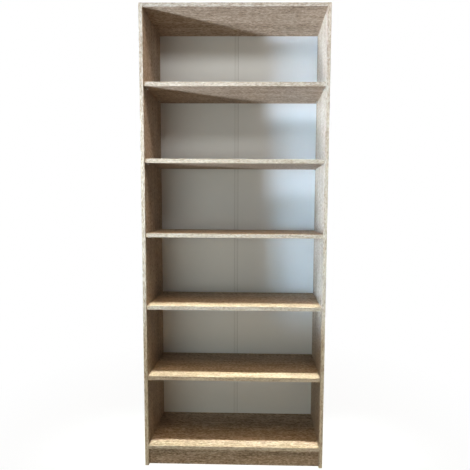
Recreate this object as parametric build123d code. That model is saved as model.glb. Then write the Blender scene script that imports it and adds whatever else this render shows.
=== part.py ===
"""Bookcase with five adjustable shelves: a flat-pack board carcass, pinned shelves and a two-sheet back.

The front faces -Y, the floor is Z = 0 and the origin is the middle of the footprint. All sizes are in millimetres.
"""

import os

from build123d import *

# Overall sizes that drive the rest
width = 800.0
depth = 280.0
board = 16.0
plinth_height = 78.0
hole_pitch = 32.0
holes_per_bay = 10
shelf_count = 5

# Shelves
shelf_thickness = 18.0
shelf_end_gap = 1.5
shelf_rear_gap = 3.0
shelf_setback = 3.0

# Edge bands on the front edges
band_thickness = 1.0
band_round = 0.7

# Plinth
plinth_setback = 12.0
plinth_floor_gap = 1.0

# Back: two sheets in grooves of the sides, joined by a strip of H section
back_inset = 12.0
back_thickness = 3.0
back_edge_inset = 1.0
groove_depth = 7.0
groove_play = 0.4
sheet_side_gap = 0.5
seam_offset = -8.0
strip_width = 18.0
strip_flange = 0.8
strip_web = 1.2
strip_end_gap = 0.5
sheet_web_gap = 0.4

# Shelf pins and their holes
hole_radius = 2.5
hole_depth = 10.5
spare_holes_each_way = 2
front_line_inset = 37.0
line_spacing = 192.0
pin_radius = 2.45
pin_insert = 9.0
pin_collar_radius = 4.0
pin_collar = 1.0
pin_tongue_radius = 3.5
pin_tongue = 9.0
pin_seat_rise = 2.7

# Cam locks, their bolts and the dowels beside them
cam_setback = 24.0
cam_hole_radius = 7.5
cam_hole_depth = 13.0
cam_radius = 7.4
cam_height = 12.0
cam_cavity_radius = 4.1
cam_cavity_reach = 4.5
cam_slot_length = 8.0
cam_slot_width = 1.4
cam_slot_depth = 1.5
cap_thickness = 1.0
bolt_bore_radius = 4.0
bolt_thread_radius = 2.45
bolt_thread_hole_radius = 2.5
bolt_thread = 10.0
bolt_thread_hole_depth = 10.5
bolt_collar_radius = 3.6
bolt_collar = 2.0
bolt_shank_radius = 2.6
bolt_head_radius = 3.4
bolt_head = 3.0
dowel_radius = 3.95
dowel_hole_radius = 4.0
dowel_in_side = 10.0
dowel_in_panel = 20.0
dowel_end_gap = 0.5
dowel_step = 32.0

# Nails that hold the back
nail_radius = 0.7
nail_hole_radius = 0.75
nail_length = 20.0
nail_end_gap = 0.3
nail_head_radius = 1.75
nail_head = 0.6
nails_per_sheet = 3
nail_seam_clearance = 30.0
nail_cam_clearance = 20.0

# Positions that follow
bay_pitch = holes_per_bay * hole_pitch
height = plinth_height + (shelf_count + 1) * bay_pitch + board
half_width = width / 2
half_inner = half_width - board
front = -depth / 2
rear = depth / 2
core_front = front + band_thickness
floor_top = plinth_height + board
ceiling = height - board
back_front = rear - back_inset
back_rear = back_front + back_thickness
front_line = front + front_line_inset
rear_line = front_line + line_spacing
top_middle = height - board / 2
bottom_middle = plinth_height + board / 2
plinth_front = front + plinth_setback
plinth_middle = plinth_front + board / 2
plinth_cam_level = (plinth_floor_gap + plinth_height + dowel_step) / 2
shelf_front = front + shelf_setback
shelf_core_front = shelf_front + band_thickness
shelf_rear = back_front - shelf_rear_gap
half_shelf = half_inner - shelf_end_gap

UP = Vector(0, 0, 1)
BACKWARD = Vector(0, 1, 0)
SIDES = {"left": -1, "right": 1}
LINES = {"front": front_line, "rear": rear_line}


def block(x_low, x_high, y_low, y_high, z_low, z_high):
    """A box between two corners."""
    middle = ((x_low + x_high) / 2, (y_low + y_high) / 2, (z_low + z_high) / 2)
    return Pos(*middle) * Box(x_high - x_low, y_high - y_low, z_high - z_low)


def rod(start, direction, radius, length):
    """A cylinder that starts at a point and runs along a direction."""
    return Plane(origin=start, z_dir=direction) * Cylinder(
        radius, length, align=(Align.CENTER, Align.CENTER, Align.MIN)
    )


def inward(side):
    """The direction from a side's inner face into the bookcase."""
    return Vector(-side, 0, 0)


def inner_point(side, y, z):
    """A point on a side's inner face."""
    return Vector(side * half_inner, y, z)


def rounded_band(x_low, x_high, y_low, z_low, z_high, along):
    """An edge band whose two long front edges are rounded."""
    band = block(x_low, x_high, y_low, y_low + band_thickness, z_low, z_high)
    long_edges = band.edges().filter_by(along).sort_by(Axis.Y)[:2]
    return fillet(long_edges, band_round)


def shelf_underside(index):
    """Height of a shelf's underside; shelf 1 is the highest."""
    return plinth_height + (shelf_count + 1 - index) * bay_pitch


def pin_level(index):
    """Height of the pin holes that a shelf uses."""
    return shelf_underside(index) - pin_seat_rise


def cam_seats(side):
    """Where cam bolts leave a side's inner face, with the way that each cam opens, by board."""
    return {
        "top": [(inner_point(side, y, top_middle), UP) for y in LINES.values()],
        "bottom": [(inner_point(side, y, bottom_middle), -UP) for y in LINES.values()],
        "plinth": [(inner_point(side, plinth_middle, plinth_cam_level), BACKWARD)],
    }


def dowel_seats(side):
    """Where dowels leave a side's inner face, by board."""
    dowel_lines = (front_line + dowel_step, rear_line - dowel_step)
    return {
        "top": [inner_point(side, y, top_middle) for y in dowel_lines],
        "bottom": [inner_point(side, y, bottom_middle) for y in dowel_lines],
        "plinth": [inner_point(side, plinth_middle, plinth_cam_level - dowel_step)],
    }


def cam_face(seat, opening, side):
    """Middle of a cam's hole, on the face of the board that it opens to."""
    return seat + inward(side) * cam_setback + opening * (board / 2)


def cam_lock(seat, opening, side):
    """A cam with a cross slot, and a hollow that takes the head of the bolt."""
    outer = cam_face(seat, opening, side) - opening * (cam_hole_depth - cam_height)
    hollow_start = seat + inward(side) * (cam_setback - cam_hole_radius - 1)
    hollow_length = cam_hole_radius + 1 + cam_cavity_reach
    slot_plane = Plane(origin=outer, z_dir=opening)
    cam = rod(outer, -opening, cam_radius, cam_height)
    cam -= rod(hollow_start, inward(side), cam_cavity_radius, hollow_length)
    cam -= slot_plane * Box(cam_slot_length, cam_slot_width, 2 * cam_slot_depth)
    cam -= slot_plane * Box(cam_slot_width, cam_slot_length, 2 * cam_slot_depth)
    return cam


def cam_bolt(seat, side):
    """A bolt screwed into a side, with a collar on the side's face and its head inside the cam."""
    head_start = seat + inward(side) * (cam_setback - bolt_head)
    bolt = rod(seat, -inward(side), bolt_thread_radius, bolt_thread)
    bolt += rod(seat, inward(side), bolt_collar_radius, bolt_collar)
    bolt += rod(seat, inward(side), bolt_shank_radius, cam_setback)
    bolt += rod(head_start, inward(side), bolt_head_radius, bolt_head)
    return bolt


def shelf_pin(seat, side):
    """A push-in pin whose collar and tongue are cut flat at the shelf's underside."""
    head_length = pin_collar + pin_tongue
    head = rod(seat, inward(side), pin_tongue_radius, head_length)
    head += rod(seat, inward(side), pin_collar_radius, pin_collar)
    above = seat + inward(side) * (head_length / 2) + UP * (pin_seat_rise + pin_collar_radius / 2)
    head -= Pos(*above) * Box(2 * head_length, 2 * pin_collar_radius, pin_collar_radius)
    return head + rod(seat, -inward(side), pin_radius, pin_insert)


def panel_end_holes(name):
    """What is drilled out of a board for its cams, bolts and dowels at both ends."""
    holes = []
    for side in SIDES.values():
        for seat, opening in cam_seats(side)[name]:
            holes.append(rod(cam_face(seat, opening, side), -opening, cam_hole_radius, cam_hole_depth))
            holes.append(rod(seat, inward(side), bolt_bore_radius, cam_setback))
        for seat in dowel_seats(side)[name]:
            holes.append(rod(seat, inward(side), dowel_hole_radius, dowel_in_panel + dowel_end_gap))
    return holes


def nail_points(level):
    """Where nails sit on the rear of the back, at one height."""
    points = []
    near_seam = strip_width / 2 + nail_seam_clearance
    past_cams = cam_setback + cam_hole_radius + nail_cam_clearance
    for side in SIDES.values():
        first = seam_offset + side * near_seam
        last = side * (half_inner - past_cams)
        for n in range(nails_per_sheet):
            x = first + (last - first) * n / (nails_per_sheet - 1)
            points.append(Vector(x, back_rear, level))
    return points


def nail_holes(level):
    """What the nails at one height take out of the back and of the board behind it."""
    length = nail_length + nail_end_gap
    return [rod(point, -BACKWARD, nail_hole_radius, length) for point in nail_points(level)]


# Upright sides, with a groove for the back, pin holes, and holes for bolts and dowels
nodes = {}
for side_name, side in SIDES.items():
    inner = side * half_inner
    outer = side * half_width
    groove_floor = side * (half_inner + groove_depth)
    upright = block(min(inner, outer), max(inner, outer), core_front, rear, 0, height)
    cuts = [
        block(
            min(inner, groove_floor),
            max(inner, groove_floor),
            back_front,
            back_rear + groove_play,
            0,
            height,
        )
    ]
    for index in range(1, shelf_count + 1):
        for step in range(-spare_holes_each_way, spare_holes_each_way + 1):
            for y in LINES.values():
                start = inner_point(side, y, pin_level(index) + step * hole_pitch)
                cuts.append(rod(start, -inward(side), hole_radius, hole_depth))
    for seats in cam_seats(side).values():
        for seat, opening in seats:
            cuts.append(rod(seat, -inward(side), bolt_thread_hole_radius, bolt_thread_hole_depth))
    for seats in dowel_seats(side).values():
        for seat in seats:
            cuts.append(rod(seat, -inward(side), dowel_hole_radius, dowel_in_side))
    nodes[f"{side_name}_side"] = upright - cuts
    nodes[f"{side_name}_side_edge_band"] = rounded_band(
        min(inner, outer), max(inner, outer), front, 0, height, Axis.Z
    )

# Top, bottom and plinth between the sides
top = block(-half_inner, half_inner, core_front, back_front, ceiling, height)
nodes["top_panel"] = top - (panel_end_holes("top") + nail_holes(top_middle))
nodes["top_edge_band"] = rounded_band(-half_inner, half_inner, front, ceiling, height, Axis.X)
bottom = block(-half_inner, half_inner, core_front, back_front, plinth_height, floor_top)
nodes["bottom_panel"] = bottom - (panel_end_holes("bottom") + nail_holes(bottom_middle))
nodes["bottom_edge_band"] = rounded_band(
    -half_inner, half_inner, front, plinth_height, floor_top, Axis.X
)
plinth = block(
    -half_inner, half_inner, plinth_front, plinth_front + board, plinth_floor_gap, plinth_height
)
nodes["plinth"] = plinth - panel_end_holes("plinth")

# Back sheets and the strip between them
sheet_low = plinth_height + back_edge_inset
sheet_high = height - back_edge_inset
sheet_outer = half_inner + groove_depth - sheet_side_gap
for side_name, side in SIDES.items():
    seam_edge = seam_offset + side * (strip_web / 2 + sheet_web_gap)
    outer_edge = side * sheet_outer
    sheet = block(
        min(seam_edge, outer_edge),
        max(seam_edge, outer_edge),
        back_front,
        back_rear,
        sheet_low,
        sheet_high,
    )
    nodes[f"back_panel_{side_name}"] = sheet - (nail_holes(top_middle) + nail_holes(bottom_middle))
strip_low = floor_top + strip_end_gap
strip_high = ceiling - strip_end_gap
strip_left = seam_offset - strip_width / 2
strip_right = seam_offset + strip_width / 2
web_left = seam_offset - strip_web / 2
web_right = seam_offset + strip_web / 2
strip = block(strip_left, strip_right, back_front - strip_flange, back_front, strip_low, strip_high)
strip += block(web_left, web_right, back_front, back_rear, strip_low, strip_high)
strip += block(strip_left, strip_right, back_rear, back_rear + strip_flange, strip_low, strip_high)
nodes["back_joint_strip"] = strip

# Fasteners: each kind is one group of separate solids
cams = []
caps = []
bolts = []
dowels = []
for side in SIDES.values():
    for board_name, seats in cam_seats(side).items():
        for seat, opening in seats:
            cams.append(cam_lock(seat, opening, side))
            bolts.append(cam_bolt(seat, side))
            if board_name == "top":
                caps.append(rod(cam_face(seat, opening, side), -opening, cam_radius, cap_thickness))
    for seats in dowel_seats(side).values():
        for seat in seats:
            end = seat - inward(side) * dowel_in_side
            dowels.append(rod(end, inward(side), dowel_radius, dowel_in_side + dowel_in_panel))
nails = []
for level in (bottom_middle, top_middle):
    for point in nail_points(level):
        nail = rod(point, -BACKWARD, nail_radius, nail_length)
        nails.append(nail + rod(point, BACKWARD, nail_head_radius, nail_head))
nodes["cam_locks"] = Compound(children=cams)
nodes["cam_caps"] = Compound(children=caps)
nodes["cam_bolts"] = Compound(children=bolts)
nodes["wood_dowels"] = Compound(children=dowels)
nodes["back_nails"] = Compound(children=nails)

# Shelves and the four pins under each
for index in range(1, shelf_count + 1):
    low = shelf_underside(index)
    high = low + shelf_thickness
    nodes[f"shelf_{index}"] = block(-half_shelf, half_shelf, shelf_core_front, shelf_rear, low, high)
    nodes[f"shelf_{index}_edge_band"] = rounded_band(
        -half_shelf, half_shelf, shelf_front, low, high, Axis.X
    )
    for side_name, side in SIDES.items():
        for line_name, y in LINES.items():
            nodes[f"shelf_{index}_pin_{line_name}_{side_name}"] = shelf_pin(
                inner_point(side, y, pin_level(index)), side
            )

os.makedirs("parts", exist_ok=True)
for name, shape in nodes.items():
    export_step(shape, f"parts/{name}.step")
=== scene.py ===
"""Bookcase with adjustable shelves: finishes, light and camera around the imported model."""

import math

import bpy
from mathutils import Matrix, Vector


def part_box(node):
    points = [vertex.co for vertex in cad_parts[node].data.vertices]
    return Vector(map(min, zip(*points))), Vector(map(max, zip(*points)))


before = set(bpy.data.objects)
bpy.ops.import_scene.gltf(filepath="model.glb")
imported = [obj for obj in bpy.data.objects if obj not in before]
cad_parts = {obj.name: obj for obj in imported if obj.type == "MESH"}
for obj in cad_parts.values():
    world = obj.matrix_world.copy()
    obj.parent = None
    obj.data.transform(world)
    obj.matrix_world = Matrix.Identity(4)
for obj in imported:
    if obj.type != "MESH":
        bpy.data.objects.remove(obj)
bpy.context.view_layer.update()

# Numbers of the shelves from the top, sides with the sign of their X, and axes
SHELVES = range(1, 6)
SIDES = {"left": -1, "right": 1}
X, Y, Z = 0, 1, 2

# Width of the painted shade along the rims of the strip over the back's seam, in metres
STRIP_PAINTED_SHADE_WIDTH = 0.0012

# Fine bump of every finish, and the weak shine of the printed oak
BUMP_STRENGTH = 0.6
PRINT_SHINE = 0.15

# Surface colours, as linear red, green, blue and alpha
OAK_DARK = (0.192, 0.130, 0.084, 1)
OAK_MIDDLE = (0.390, 0.292, 0.210, 1)
OAK_LIGHT = (0.570, 0.452, 0.345, 1)
OAK_PORE = (0.125, 0.080, 0.048, 1)
BAND_DARK = (0.290, 0.220, 0.158, 1)
BAND_MIDDLE = (0.465, 0.384, 0.300, 1)
BAND_LIGHT = (0.590, 0.508, 0.415, 1)
BAND_PORE = (0.170, 0.118, 0.076, 1)
CHIP_DARK = (0.150, 0.088, 0.045, 1)
CHIP_MIDDLE = (0.390, 0.262, 0.150, 1)
CHIP_LIGHT = (0.560, 0.420, 0.275, 1)
LACQUER_WHITE = (0.850, 0.850, 0.842, 1)
LACQUER_SHADE = (0.800, 0.802, 0.796, 1)
HARDBOARD_DARK = (0.140, 0.080, 0.042, 1)
HARDBOARD_LIGHT = (0.270, 0.170, 0.098, 1)
STRIP_WHITE = (0.83, 0.83, 0.82, 1)
STRIP_SHADE = (0.76, 0.76, 0.75, 1)
# Painted shade along the two rims of the back's seam strip
STRIP_PAINTED_SHADE = (0.46, 0.45, 0.43, 1)
ZINC_BRIGHT = (0.58, 0.58, 0.60, 1)
ZINC_DULL = (0.38, 0.38, 0.40, 1)
STEEL_BRIGHT = (0.66, 0.66, 0.66, 1)
STEEL_DULL = (0.48, 0.48, 0.48, 1)
NICKEL_BRIGHT = (0.70, 0.67, 0.62, 1)
NICKEL_DULL = (0.54, 0.51, 0.47, 1)
BEECH_DARK = (0.50, 0.33, 0.19, 1)
BEECH_LIGHT = (0.70, 0.52, 0.34, 1)
FLOOR_SEEN = (0.85, 0.85, 0.85, 1)
FLOOR_BOUNCE = (0.30, 0.27, 0.24, 1)
WHITE = (1, 1, 1, 1)
BLACK = (0, 0, 0, 1)

# Colour of the fill lamps, as linear red, green and blue
FILL_LIGHT = (1.00, 0.98, 0.95)

# Width of the photo camera's sensor, in millimetres, and how far it sees, in metres
SENSOR_WIDTH = 36.0
SIGHT_LIMIT = 100.0


class Link:
    """A shader output. Arithmetic on it adds Math nodes."""

    def __init__(self, finish, socket):
        self.finish = finish
        self.socket = socket

    def math(self, operation, *values):
        return self.finish.node(
            "ShaderNodeMath", {"operation": operation}, dict(enumerate(values))
        )

    def __add__(self, other):
        return self.math("ADD", self, other)

    def __radd__(self, other):
        return self.math("ADD", other, self)

    def __sub__(self, other):
        return self.math("SUBTRACT", self, other)

    def __rsub__(self, other):
        return self.math("SUBTRACT", other, self)

    def __mul__(self, other):
        return self.math("MULTIPLY", self, other)

    def above(self, limit):
        """1 where the value is above the limit, and 0 elsewhere."""
        return self.math("GREATER_THAN", self, limit)

    def clamped(self):
        """The value, kept between 0 and 1."""
        return self.math("MINIMUM", self.math("MAXIMUM", self, 0.0), 1.0)


class Finish:
    """The node tree of one surface finish, or of the world."""

    def __init__(self, owner):
        owner.use_nodes = True
        self.owner = owner
        self.tree = owner.node_tree
        self.tree.nodes.clear()

    def node(self, kind, settings=None, sockets=None, out=0):
        """Adds a node: its settings first, then the values or links of its sockets."""
        made = self.tree.nodes.new(kind)
        for name, value in (settings or {}).items():
            if name == "stops":
                set_stops(made.color_ramp, value)
            else:
                setattr(made, name, value)
        for name, value in (sockets or {}).items():
            if isinstance(value, Link):
                self.tree.links.new(value.socket, made.inputs[name])
            else:
                made.inputs[name].default_value = value
        return Link(self, made.outputs[out]) if len(made.outputs) else None

    def blend(self, factor, first, second):
        """A colour between two colours."""
        return self.node(
            "ShaderNodeMix", {"data_type": "RGBA"}, {0: factor, 6: first, 7: second}, out=2
        )

    def ramp(self, factor, *stops):
        """A colour from a row of stops, each a place from 0 to 1 and a colour."""
        return self.node("ShaderNodeValToRGB", {"stops": stops}, {"Fac": factor})

    def place(self):
        """Places on the piece itself, in metres."""
        return self.node("ShaderNodeTexCoord", out="Object")

    def stretched(self, repeats):
        """Places on the piece, multiplied by repeats per metre along X, Y and Z."""
        return self.node("ShaderNodeMapping", {}, {"Vector": self.place(), "Scale": repeats})

    def noise(self, repeats, detail=2.0, roughness=0.5):
        """Soft random values from 0 to 1."""
        return self.node(
            "ShaderNodeTexNoise",
            {},
            {"Vector": self.stretched(repeats), "Scale": 1.0, "Detail": detail, "Roughness": roughness},
        )

    def along(self, vector, axis):
        """The part of a vector along one axis."""
        return self.node("ShaderNodeSeparateXYZ", {}, {0: vector}, out=axis)

    def facing(self, axis):
        """The part of the surface normal along one axis."""
        return self.along(self.node("ShaderNodeNewGeometry", out="Normal"), axis)

    def surface(self, colour, roughness, height, relief, **constants):
        """Closes a finish with a shader. Relief is the bump's depth in metres."""
        bump = self.node(
            "ShaderNodeBump", {}, {"Strength": BUMP_STRENGTH, "Distance": relief, "Height": height}
        )
        sockets = {"Base Color": colour, "Roughness": roughness, "Normal": bump}
        sockets.update({name.replace("_", " "): value for name, value in constants.items()})
        shader = self.node("ShaderNodeBsdfPrincipled", {}, sockets)
        self.node("ShaderNodeOutputMaterial", {}, {"Surface": shader})
        return self.owner


def set_stops(color_ramp, stops):
    """Gives a colour ramp its stops, each a place and a colour."""
    while len(color_ramp.elements) < len(stops):
        color_ramp.elements.new(0.5)
    for element, (place, colour) in zip(color_ramp.elements, stops):
        element.position = place
        element.color = colour


def new_finish(name):
    return Finish(bpy.data.materials.new(name))


def evenly(repeats):
    """The same repeats per metre along X, Y and Z."""
    return (repeats, repeats, repeats)


def along_grain(grain, along, across):
    """Repeats per metre for a pattern that runs along the grain."""
    repeats = [across, across, across]
    repeats[grain] = along
    return repeats


def oak_figure(finish, grain, dark, middle, light, pore_colour):
    """Grey-brown oak print: slow drift, streaks, short flecks and dark open pores.

    Gives the colour, and the pores' mask.
    """
    drift = finish.noise(along_grain(grain, along=1.3, across=16.0))
    streak = finish.noise(along_grain(grain, along=10.0, across=220.0), detail=3.0, roughness=0.6)
    fleck = finish.noise(along_grain(grain, along=80.0, across=240.0), roughness=0.6)
    pore = finish.noise(along_grain(grain, along=60.0, across=900.0), detail=1.0)
    figure = drift * 0.6 + streak * 1.1 + fleck * 2.0 - 1.35
    pores = ((0.40 - pore) * 9.0).clamped()
    print_colour = finish.ramp(figure, (0.10, dark), (0.50, middle), (0.90, light))
    return finish.blend(pores * 0.6, print_colour, pore_colour), pores


def chipboard_colour(finish):
    """Raw chipboard, as bare board edges and drilled holes show it."""
    chips = finish.node(
        "ShaderNodeTexVoronoi",
        {},
        {"Vector": finish.stretched((300.0, 300.0, 520.0)), "Scale": 1.0},
        out="Color",
    )
    chip = finish.node("ShaderNodeSeparateColor", {}, {0: chips})
    dust = finish.noise(evenly(900.0))
    shade = chip * 0.7 + dust * 0.3
    return finish.ramp(shade, (0.12, CHIP_DARK), (0.45, CHIP_MIDDLE), (0.85, CHIP_LIGHT))


def oak_board(name, grain, face):
    """Melamine-faced board: oak print on its two faces, bare chipboard on its edges."""
    finish = new_finish(name)
    oak, pores = oak_figure(finish, grain, OAK_DARK, OAK_MIDDLE, OAK_LIGHT, OAK_PORE)
    facing = finish.facing(face)
    bare = 1.0 - (facing * facing).above(0.5)
    wipe = finish.noise(evenly(7.0))
    roughness = 0.44 + wipe * 0.10 + pores * 0.12 + bare * 0.4
    height = (1.0 - pores) * (1.0 - bare)
    colour = finish.blend(bare, oak, chipboard_colour(finish))
    return finish.surface(colour, roughness, height, relief=0.00012, Specular_IOR_Level=PRINT_SHINE)


def oak_edge_band(name, grain):
    """Paler oak-print band on the front edges."""
    finish = new_finish(name)
    oak, pores = oak_figure(finish, grain, BAND_DARK, BAND_MIDDLE, BAND_LIGHT, BAND_PORE)
    wipe = finish.noise(evenly(30.0))
    roughness = 0.48 + wipe * 0.12 + pores * 0.12
    return finish.surface(oak, roughness, 1.0 - pores, relief=0.00008, Specular_IOR_Level=PRINT_SHINE)


def back_sheet(name):
    """Hardboard: white lacquer in front, bare brown fibres behind."""
    finish = new_finish(name)
    cloud = finish.noise(evenly(5.0))
    peel = finish.noise(evenly(420.0), detail=1.0)
    fibre = finish.noise((260.0, 260.0, 90.0), detail=4.0, roughness=0.7)
    white = finish.blend(cloud, LACQUER_WHITE, LACQUER_SHADE)
    brown = finish.ramp(fibre, (0.30, HARDBOARD_DARK), (0.70, HARDBOARD_LIGHT))
    bare = finish.facing(Y).above(0.5)
    roughness = 0.36 + cloud * 0.08 + bare * 0.4
    return finish.surface(finish.blend(bare, white, brown), roughness, peel, relief=0.00003)


def white_plastic(name, middle, half_width):
    """Extruded white strip, faintly lined along its length, with painted shade along its two rims."""
    finish = new_finish(name)
    lines = finish.noise((1200.0, 1200.0, 2.0), detail=1.0)
    sideways = finish.along(finish.place(), X) - middle
    # Painted shade: the strip turns darker along each rim, where its flanges would cast a thin shadow
    painted_shade_rim = (sideways * sideways).above((half_width - STRIP_PAINTED_SHADE_WIDTH) ** 2)
    colour = finish.blend(painted_shade_rim, finish.blend(lines, STRIP_WHITE, STRIP_SHADE), STRIP_PAINTED_SHADE)
    roughness = 0.30 + lines * 0.15 + painted_shade_rim * 0.2
    return finish.surface(colour, roughness, lines, relief=0.00003)


def brown_plastic(name):
    """Cap over a cam lock, moulded in the board's colour."""
    finish = new_finish(name)
    mould = finish.noise(evenly(700.0))
    colour = finish.blend(mould, OAK_MIDDLE, OAK_DARK)
    return finish.surface(colour, 0.42 + mould * 0.15, mould, relief=0.00004)


def plated_metal(name, bright, dull, repeats, roughness):
    """Plated steel or zinc with fine marks."""
    finish = new_finish(name)
    marks = finish.noise(repeats, detail=3.0, roughness=0.6)
    colour = finish.ramp(marks, (0.30, dull), (0.65, bright))
    return finish.surface(colour, roughness + marks * 0.18, marks, relief=0.00003, Metallic=1.0)


def beech(name):
    """Bare turned beech of the dowels."""
    finish = new_finish(name)
    rays = finish.noise((60.0, 900.0, 900.0), detail=3.0)
    colour = finish.ramp(rays, (0.3, BEECH_DARK), (0.7, BEECH_LIGHT))
    return finish.surface(colour, 0.6 + rays * 0.2, rays, relief=0.00008)


def dress(node, finish):
    """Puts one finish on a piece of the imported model."""
    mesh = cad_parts[node].data
    mesh.materials.clear()
    mesh.materials.append(finish)


def seen_directly(finish):
    """1 for what the camera sees, reflections too, and 0 for the light on the object."""
    seen = [
        finish.node("ShaderNodeLightPath", out=name)
        for name in ("Is Camera Ray", "Is Glossy Ray", "Is Transmission Ray")
    ]
    return (seen[0] + seen[1] + seen[2]).clamped()


def pale_floor(half_size, whiteness, clear_within):
    """A pale floor that looks white to the camera, with a soft shadow around the object's foot.

    Whiteness is the share of pure white at the middle. It grows to 1 at the distance clear_within.
    """
    mesh = bpy.data.meshes.new("floor")
    corners = [(-half_size, -half_size, 0), (half_size, -half_size, 0)]
    corners += [(half_size, half_size, 0), (-half_size, half_size, 0)]
    mesh.from_pydata(corners, [], [(0, 1, 2, 3)])
    floor = bpy.data.objects.new("floor", mesh)
    bpy.context.scene.collection.objects.link(floor)
    finish = new_finish("pale_floor")
    seen = seen_directly(finish)
    matt_colour = finish.blend(seen, FLOOR_BOUNCE, FLOOR_SEEN)
    matt = finish.node("ShaderNodeBsdfDiffuse", {}, {"Color": matt_colour})
    glow = finish.node("ShaderNodeEmission", {}, {"Color": WHITE, "Strength": 1.0})
    away = finish.node("ShaderNodeVectorMath", {"operation": "LENGTH"}, {0: finish.place()}, out="Value")
    share = (whiteness + away * ((1.0 - whiteness) / clear_within)).clamped()
    mixed = finish.node("ShaderNodeMixShader", {}, {0: seen * share, 1: matt, 2: glow})
    finish.node("ShaderNodeOutputMaterial", {}, {"Surface": mixed})
    mesh.materials.append(finish.owner)


def white_world():
    """White behind the object, which casts no light on it."""
    world = bpy.data.worlds.new("studio")
    bpy.context.scene.world = world
    finish = Finish(world)
    dark = finish.node("ShaderNodeBackground", {}, {"Color": BLACK, "Strength": 1.0})
    white = finish.node("ShaderNodeBackground", {}, {"Color": WHITE, "Strength": 1.0})
    mixed = finish.node("ShaderNodeMixShader", {}, {0: seen_directly(finish), 1: dark, 2: white})
    finish.node("ShaderNodeOutputWorld", {}, {"Surface": mixed})


def area_lamp(name, place, target, size, watts, colour, spread=180.0):
    """A rectangular lamp that faces a point. Spread is the angle that its light fans out over."""
    lamp = bpy.data.lights.new(name, "AREA")
    lamp.shape = "RECTANGLE"
    lamp.size, lamp.size_y = size
    lamp.energy = watts
    lamp.color = colour
    lamp.spread = math.radians(spread)
    holder = bpy.data.objects.new(name, lamp)
    bpy.context.scene.collection.objects.link(holder)
    holder.location = place
    holder.rotation_euler = (Vector(target) - Vector(place)).to_track_quat("-Z", "Y").to_euler()
    return holder


def leave_unlit(lamp, *nodes):
    """Keeps a lamp's light off some pieces, which still cast its shadow, and its glare off all pieces."""
    lamp.visible_glossy = False
    receivers = bpy.data.collections.new(f"{lamp.name}_receivers")
    for node in nodes:
        receivers.objects.link(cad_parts[node])
    for receiver in receivers.collection_objects:
        receiver.light_linking.link_state = "EXCLUDE"
    lamp.light_linking.receiver_collection = receivers


def photo_camera(place, yaw, pitch, roll, lens, shift):
    """The photograph's camera. Yaw turns it to the right, pitch up, and roll anticlockwise."""
    forward = Vector(
        (math.sin(yaw) * math.cos(pitch), math.cos(yaw) * math.cos(pitch), math.sin(pitch))
    )
    level = Vector((math.cos(yaw), -math.sin(yaw), 0))
    upward = level.cross(forward)
    right = level * math.cos(roll) + upward * math.sin(roll)
    up = upward * math.cos(roll) - level * math.sin(roll)
    camera = bpy.data.cameras.new("photo_camera")
    camera.sensor_width = SENSOR_WIDTH
    camera.lens = lens
    camera.shift_x, camera.shift_y = shift
    camera.clip_end = SIGHT_LIMIT
    holder = bpy.data.objects.new("photo_camera", camera)
    bpy.context.scene.collection.objects.link(holder)
    holder.matrix_world = Matrix.Translation(place) @ Matrix((right, up, -forward)).transposed().to_4x4()
    bpy.context.scene.camera = holder


# Finishes
upright_board = oak_board("oak_board_upright", grain=Z, face=X)
flat_board = oak_board("oak_board_flat", grain=X, face=Z)
plinth_board = oak_board("oak_board_plinth", grain=X, face=Y)
upright_band = oak_edge_band("oak_band_upright", grain=Z)
flat_band = oak_edge_band("oak_band_flat", grain=X)
white_back = back_sheet("white_back_sheet")
strip_low, strip_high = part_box("back_joint_strip")
strip_middle = (strip_low[X] + strip_high[X]) / 2
strip_white = white_plastic("white_strip", strip_middle, half_width=strip_high[X] - strip_middle)
cap_brown = brown_plastic("brown_cap")
zinc = plated_metal("cam_zinc", ZINC_BRIGHT, ZINC_DULL, repeats=evenly(500.0), roughness=0.35)
steel = plated_metal(
    "bright_steel", STEEL_BRIGHT, STEEL_DULL, repeats=(300.0, 900.0, 900.0), roughness=0.22
)
nickel = plated_metal(
    "pin_nickel", NICKEL_BRIGHT, NICKEL_DULL, repeats=(240.0, 900.0, 900.0), roughness=0.18
)
dowel_beech = beech("dowel_beech")

# Pieces of the case
for side in SIDES:
    dress(f"{side}_side", upright_board)
    dress(f"{side}_side_edge_band", upright_band)
    dress(f"back_panel_{side}", white_back)
for panel in ("top", "bottom"):
    dress(f"{panel}_panel", flat_board)
    dress(f"{panel}_edge_band", flat_band)
dress("plinth", plinth_board)
dress("back_joint_strip", strip_white)
dress("cam_locks", zinc)
dress("cam_caps", cap_brown)
dress("cam_bolts", steel)
dress("wood_dowels", dowel_beech)
dress("back_nails", steel)

# Shelves and their pins
for shelf in SHELVES:
    dress(f"shelf_{shelf}", flat_board)
    dress(f"shelf_{shelf}_edge_band", flat_band)
    for line in ("front", "rear"):
        for side in SIDES:
            dress(f"shelf_{shelf}_pin_{line}_{side}", nickel)

# Surroundings
bpy.context.scene.view_settings.view_transform = "Standard"
pale_floor(half_size=14.0, whiteness=0.85, clear_within=1.6)
white_world()

# Daylight from the left, on the right part of the back and on the right side
window = area_lamp(
    "window",
    place=(-2.10, -1.05, 1.38),
    target=(0.25, 0.0, 1.38),
    size=(0.80, 1.44),
    watts=4.1,
    colour=(0.47, 0.73, 1.00),
    spread=10.0,
)
window_side = area_lamp(
    "window_side",
    place=(-1.95, -0.61, 1.38),
    target=(0.38, -0.03, 1.38),
    size=(0.50, 1.44),
    watts=2.6,
    colour=(0.47, 0.68, 1.00),
    spread=7.0,
)

# Daylight that comes up from the left, on the undersides of the top and the upper shelves
window_foot = area_lamp(
    "window_foot",
    place=(-3.10, -1.49, 0.20),
    target=(0.25, 0.0, 2.05),
    size=(0.25, 0.30),
    watts=8.5,
    colour=(0.71, 0.84, 1.00),
    spread=34.0,
)

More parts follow.
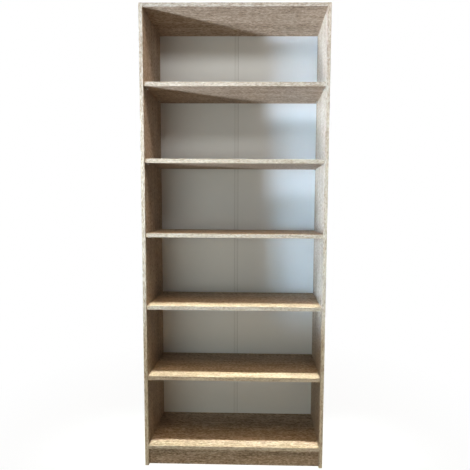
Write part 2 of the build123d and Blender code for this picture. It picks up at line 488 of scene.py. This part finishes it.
# Ceiling lights: a bright line on the fronts of the lower shelves, a wedge on the left side, a warm glow
ceiling_tube = area_lamp(
    "ceiling_tube",
    place=(0.0, -0.54, 3.20),
    target=(0.0, -0.14, 0.60),
    size=(1.60, 0.03),
    watts=4.4,
    colour=(0.87, 1.00, 0.93),
    spread=14.0,
)
area_lamp(
    "ceiling_right",
    place=(1.60, -0.68, 2.97),
    target=(-0.38, -0.08, 1.60),
    size=(0.30, 0.10),
    watts=1.15,
    colour=(1.00, 0.91, 0.82),
    spread=40.0,
)
area_lamp(
    "ceiling",
    place=(0.0, -0.95, 3.00),
    target=(0.0, -0.10, 0.40),
    size=(2.00, 1.20),
    watts=6.0,
    colour=(1.00, 0.74, 0.42),
    spread=60.0,
)

# Light from the front: on the back of the upper bays, from the room, and off a warm floor
upper_front = area_lamp(
    "upper_front",
    place=(0.0, -1.17, 2.40),
    target=(0.0, 0.12, 1.82),
    size=(0.90, 0.25),
    watts=1.0,
    colour=(0.98, 1.00, 0.98),
    spread=70.0,
)
area_lamp(
    "room",
    place=(-1.5, -2.90, 0.90),
    target=(0.0, 0.0, 1.0),
    size=(2.6, 1.4),
    watts=22.0,
    colour=(0.90, 1.00, 0.95),
)
area_lamp(
    "floor_glow",
    place=(0.5, -1.00, 0.03),
    target=(0.0, 0.1, 0.70),
    size=(1.40, 0.80),
    watts=2.1,
    colour=(1.00, 0.78, 0.46),
)

# Fill light on the faces that the photograph doesn't show
for side, sign in SIDES.items():
    area_lamp(
        f"{side}_fill",
        place=(sign * 3.20, 0.60, 1.40),
        target=(sign * 0.4, 0.1, 1.0),
        size=(1.6, 1.6),
        watts=42.0,
        colour=FILL_LIGHT,
    )
area_lamp(
    "rear_fill",
    place=(0.60, 3.20, 1.60),
    target=(0.0, 0.14, 1.0),
    size=(2.0, 1.6),
    watts=52.0,
    colour=FILL_LIGHT,
)
area_lamp(
    "top_fill",
    place=(0.0, 0.45, 3.50),
    target=(0.0, 0.10, 2.0),
    size=(1.2, 0.4),
    watts=7.0,
    colour=(0.92, 0.97, 1.00),
)

# Pieces that some lamps leave alone, because they would be too bright
for lamp in (window, window_side, window_foot):
    leave_unlit(lamp, "left_side")
leave_unlit(ceiling_tube, "top_panel", "shelf_1", "shelf_2", "shelf_3")
leave_unlit(upper_front, "top_edge_band")

photo_camera(
    place=(0.11085, -1.70303, 1.18281),
    yaw=-0.01559,
    pitch=-0.07221,
    roll=0.00675,
    lens=27.881,
    shift=(-0.04063, -0.00872),
)
